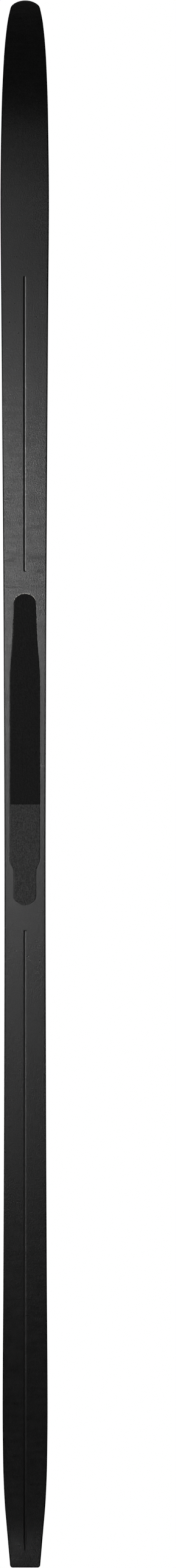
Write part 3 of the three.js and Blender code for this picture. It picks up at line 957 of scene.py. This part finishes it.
def top_material():
    """Satin graphite sheet with a fine fleck, pale bands near both ends and two thin lines along it."""
    n = Nodes("graphite_top_sheet")
    along, across = n.axis("X"), n.math("ABSOLUTE", n.axis("Y"))
    fleck = n.noise((1500, 1500, 1500), 1.0)
    weave = n.noise((260, 1100, 260), 2.0)
    body = n.mix(n.mapped(weave, 0.35, 0.65), (0.012, 0.013, 0.016), (0.02, 0.022, 0.026))
    body = n.mix(n.mapped(fleck, 0.68, 0.78), body, (0.09, 0.095, 0.105))
    slanted = n.math("ADD", along, n.math("MULTIPLY", across, STRIPE_SLANT))
    for start, end in STRIPES:
        past_start = n.math("GREATER_THAN", slanted, start)
        inside = n.math("MULTIPLY", past_start, n.math("LESS_THAN", slanted, end))
        body = n.mix(inside, body, (0.33, 0.34, 0.35))
    off_pin = n.math("ABSOLUTE", n.math("SUBTRACT", across, PIN_ACROSS))
    pin = n.math("LESS_THAN", off_pin, PIN_HALF_WIDTH)
    pin = n.math("MULTIPLY", pin, n.math("LESS_THAN", n.math("ABSOLUTE", along), PIN_REACH))
    body = n.mix(pin, body, (0.3, 0.31, 0.32))
    n.set(Base_Color=body, Roughness=n.mapped(weave, 0.3, 0.7, 0.24, 0.34))
    n.set(Coat_Weight=0.25, Coat_Roughness=0.12)
    n.bump(weave, 0.00001, 0.4)
    return n.material


def plate_material():
    """Moulded glass-filled nylon: a fine spark-eroded grain."""
    n = Nodes("moulded_plate_nylon")
    grain = n.noise((2200, 2200, 2200), 2.0)
    cloud = n.noise((60, 60, 60), 3.0)
    n.set(Base_Color=n.mix(n.mapped(cloud, 0.3, 0.7), (0.013, 0.013, 0.015), (0.02, 0.02, 0.023)))
    n.set(Roughness=n.mapped(grain, 0.3, 0.7, 0.5, 0.66))
    n.bump(grain, 0.00006, 0.7)
    return n.material


def steel_material():
    """Zinc-plated steel with faint turning marks."""
    n = Nodes("zinc_plated_steel")
    marks = n.noise((4000, 4000, 900), 2.0)
    stain = n.noise((500, 500, 500), 3.0)
    n.set(Base_Color=n.mix(n.mapped(stain, 0.3, 0.7), (0.42, 0.43, 0.45), (0.6, 0.6, 0.59)))
    n.set(Metallic=1.0, Roughness=n.mapped(marks, 0.3, 0.7, 0.25, 0.42))
    return n.material


def wood_material(name, early, late):
    """Planed wood with its grain along the ski."""
    n = Nodes(name)
    rings = n.noise((5, 180, 220), 3.0)
    pores = n.noise((120, 2400, 2400), 2.0)
    grain = n.mix(n.mapped(rings, 0.35, 0.65), early, late)
    n.set(Base_Color=n.mix(n.mapped(pores, 0.6, 0.75, 0.0, 0.5), grain, tuple(v * 0.5 for v in late)))
    n.set(Roughness=n.mapped(pores, 0.3, 0.7, 0.65, 0.85))
    n.bump(pores, 0.0001, 0.4)
    return n.material


def glass_fibre_material(name, resin, fibre):
    """Glass cloth in resin: crossing bundles of fibre."""
    n = Nodes(name)
    warp = n.noise((30, 1500, 300), 2.0)
    weft = n.noise((900, 40, 300), 2.0)
    weave = n.math("MAXIMUM", warp, weft)
    n.set(Base_Color=n.mix(n.mapped(weave, 0.45, 0.7), resin, fibre))
    n.set(Roughness=n.mapped(weave, 0.4, 0.7, 0.3, 0.5))
    n.bump(weave, 0.00005, 0.4)
    return n.material


def adhesive_material():
    """A clear yellowish film with small bubbles."""
    n = Nodes("adhesive_film")
    bubbles = n.noise((700, 700, 700), 2.0)
    n.set(Base_Color=n.mix(n.mapped(bubbles, 0.4, 0.65), (0.42, 0.37, 0.25), (0.55, 0.5, 0.38)))
    n.set(Roughness=n.mapped(bubbles, 0.3, 0.7, 0.3, 0.55))
    n.bump(bubbles, 0.0001, 0.5)
    return n.material


def dress_inner_nodes():
    """Gives the CAD nodes inside the ski their finish."""
    laminate = glass_fibre_material("glass_laminate", (0.3, 0.3, 0.2), (0.55, 0.54, 0.4))
    dense = glass_fibre_material("dense_glass_sheet", (0.16, 0.17, 0.08), (0.3, 0.31, 0.18))
    light_wood = wood_material("paulownia", (0.72, 0.55, 0.33), (0.5, 0.35, 0.18))
    dark_wood = wood_material("poplar", (0.56, 0.37, 0.18), (0.36, 0.21, 0.09))
    adhesive = adhesive_material()
    finishes = {
        "lower_laminate": laminate,
        "upper_laminate": laminate,
        "binding_reinforcement": dense,
        "core_left_stringer": light_wood,
        "core_right_stringer": light_wood,
        "core_middle_stringer": dark_wood,
        "front_skin_adhesive": adhesive,
        "rear_skin_adhesive": adhesive,
    }
    for node, material in finishes.items():
        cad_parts[node].data.materials.clear()
        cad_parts[node].data.materials.append(material)


# ---- Camera, lights and surroundings ----

SKI_FROM_LEFT = 0.1413  # where the ski's centre line is, as a share of the picture's width
PICTURE_WIDTH = 289
PICTURE_HEIGHT = 2576
LENS = 180
SENSOR = 36
CAMERA_DISTANCE = 9.712
CAMERA_TILT = math.radians(-2.36)
CAMERA_AHEAD = 0.0013  # how far ahead of the ski's middle the camera aims
STRIP_DROP = 1.2
STRIP_ASIDE = -0.14
STRIP_WIDTH = 0.14
# Lamps under the running base: name, from x, to x, and power.
STRIPS = [
    ("strip_middle", -0.11, 0.35, 3.5),
    ("strip_rear", -0.48, -0.11, 0.52),
    ("strip_front", 0.35, 1.05, 0.73),
    ("strip_tip", 1.05, 1.72, 0.46),
    ("strip_tail", -1.53, -1.27, 0.55),
]
# Round lamps: name, place, target, size, and power.
LAMPS = [
    ("rake", (0.25, -1.6, -1.0), (0.15, 0, 0), 0.8, 40),
    ("rake_rear", (-0.3, -1.6, -1.0), (-0.3, 0, 0), 0.8, 7),
    ("fill_rear", (-0.45, 1.6, -1.0), (-0.45, 0, 0), 0.8, 2.2),
    ("top_key", (-0.8, -2.2, 3.2), (0, 0, 0), 2.0, 90),
]
SUN_POWER = 2.0
SUN_ANGLE = 40
SUN_TURN = (35, 15, 0)
SKY_RANGE = (-0.05, 0.5, 0.03, 0.55)  # low and high z of a direction, and the strength at each
FLOOR_REACH = 60.0


def make_camera():
    """Looks up at the running base from far below, tip up, with the ski left of the middle."""
    data = bpy.data.cameras.new("camera")
    data.lens = LENS
    data.sensor_width = SENSOR
    distance = CAMERA_DISTANCE
    data.clip_end = 4 * distance
    camera = bpy.data.objects.new("camera", data)
    bpy.context.scene.collection.objects.link(camera)
    seen_width = distance * data.sensor_width / data.lens * PICTURE_WIDTH / PICTURE_HEIGHT
    aside = (0.5 - SKI_FROM_LEFT) * seen_width
    along, down = math.sin(CAMERA_TILT), math.cos(CAMERA_TILT)
    camera.matrix_world = Matrix((
        (0, down, -along, CAMERA_AHEAD - distance * along),
        (1, 0, 0, aside),
        (0, -along, -down, -distance * down),
        (0, 0, 0, 1),
    ))
    bpy.context.scene.camera = camera


def add_light(name, kind, power):
    """A light that the camera doesn't see."""
    data = bpy.data.lights.new(name, kind)
    data.energy = power
    light = bpy.data.objects.new(name, data)
    bpy.context.scene.collection.objects.link(light)
    light.visible_camera = False
    return light


def lamp(name, place, target, size, power):
    """A round lamp that points at a target."""
    light = add_light(name, "AREA", power)
    light.data.shape = "DISK"
    light.data.size = size
    light.location = place
    light.rotation_mode = "QUATERNION"
    light.rotation_quaternion = (Vector(target) - Vector(place)).to_track_quat("-Z", "Y")


def strip_lamp(name, start, end, power):
    """A lamp below the ski that points up, from one x to another."""
    light = add_light(name, "AREA", power)
    light.data.shape = "RECTANGLE"
    light.data.size = end - start
    light.data.size_y = STRIP_WIDTH
    light.location = ((start + end) / 2, STRIP_ASIDE, -STRIP_DROP)
    light.rotation_euler = (math.pi, 0, 0)


def make_lights():
    """Strips of soft light under the running base, lamps from its sides, and soft light above."""
    for strip in STRIPS:
        strip_lamp(*strip)
    for round_lamp in LAMPS:
        lamp(*round_lamp)
    sun = add_light("sun", "SUN", SUN_POWER)
    sun.data.angle = math.radians(SUN_ANGLE)
    sun.rotation_euler = [math.radians(turn) for turn in SUN_TURN]


def make_world():
    """White to the camera. The ski sees a soft sky above it and a dim ground below."""
    world = bpy.data.worlds.new("studio")
    bpy.context.scene.world = world
    world.use_nodes = True
    nodes, links = world.node_tree.nodes, world.node_tree.links
    nodes.clear()
    direction = nodes.new("ShaderNodeTexCoord").outputs["Generated"]
    split = nodes.new("ShaderNodeSeparateXYZ")
    links.new(direction, split.inputs[0])
    ramp = nodes.new("ShaderNodeMapRange")
    links.new(split.outputs["Z"], ramp.inputs["Value"])
    for key, value in zip(RANGE_INPUTS, SKY_RANGE):
        ramp.inputs[key].default_value = value
    sky = nodes.new("ShaderNodeBackground")
    links.new(ramp.outputs["Result"], sky.inputs["Strength"])
    backdrop = nodes.new("ShaderNodeBackground")
    backdrop.inputs["Strength"].default_value = 1.0
    for background in (sky, backdrop):
        background.inputs["Color"].default_value = (1, 1, 1, 1)
    mix = nodes.new("ShaderNodeMixShader")
    links.new(nodes.new("ShaderNodeLightPath").outputs["Is Camera Ray"], mix.inputs["Fac"])
    links.new(sky.outputs[0], mix.inputs[1])
    links.new(backdrop.outputs[0], mix.inputs[2])
    links.new(mix.outputs[0], nodes.new("ShaderNodeOutputWorld").inputs["Surface"])


def make_floor():
    """A pale floor that shows from above only, so the running base can be seen through it."""
    n = Nodes("pale_floor")
    cloud = n.noise((1.5, 1.5, 1.5), 2.0)
    colour = n.mix(n.mapped(cloud, 0.3, 0.7), (0.84, 0.84, 0.84), (0.87, 0.87, 0.87))
    n.set(Base_Color=colour, Roughness=0.7)
    geometry = n.add("ShaderNodeNewGeometry")
    clear = n.add("ShaderNodeBsdfTransparent")
    mix = n.add("ShaderNodeMixShader")
    n.link(geometry.outputs["Backfacing"], mix.inputs["Fac"])
    n.link(n.shader.outputs[0], mix.inputs[1])
    n.link(clear.outputs[0], mix.inputs[2])
    n.link(mix.outputs[0], n.tree.nodes["Material Output"].inputs["Surface"])
    reach = FLOOR_REACH
    corners = [(-reach, -reach, 0), (reach, -reach, 0), (reach, reach, 0), (-reach, reach, 0)]
    mesh = bpy.data.meshes.new("floor")
    mesh.from_pydata(corners, [], [(0, 1, 2, 3)])
    mesh.materials.append(n.material)
    floor = bpy.data.objects.new("floor", mesh)
    bpy.context.scene.collection.objects.link(floor)
    floor.visible_shadow = False
    floor.visible_glossy = False
    floor.visible_diffuse = False


# ---- The scene ----


def make_ski():
    """Every visible piece. The holes only cut the top sheet and the plates."""
    edge = edge_material()
    make_base(base_material())
    black = pile_material("black_mohair", (0.0012, 0.0012, 0.0012), (0.006, 0.006, 0.006), 0.005)
    make_skin("front", SKIN_START, SKIN_SEAM, "front_pile", black, SEED, FRONT_HAIRS)
    grey = pile_material("grey_pile", (0.011, 0.011, 0.011), (0.04, 0.04, 0.04), 0.03)
    make_skin("rear", SKIN_SEAM + 2 * GLUE, SKIN_END, "rear_pile", grey, SEED + 1, REAR_HAIRS)
    make_sidewalls(edge)
    make_ends(edge)
    holes = make_screws(steel_material())
    make_top_sheet(top_material(), holes)
    make_plates(plate_material(), holes)
    for hole in holes:
        bpy.data.objects.remove(hole)
    dress_inner_nodes()


def main():
    """The ski and its surroundings."""
    scene = bpy.context.scene
    scene.view_settings.view_transform = "Standard"
    scene.cycles.denoising_prefilter = "NONE"  # keeps the base's grain even
    make_ski()
    make_camera()
    make_lights()
    make_world()
    make_floor()


main()
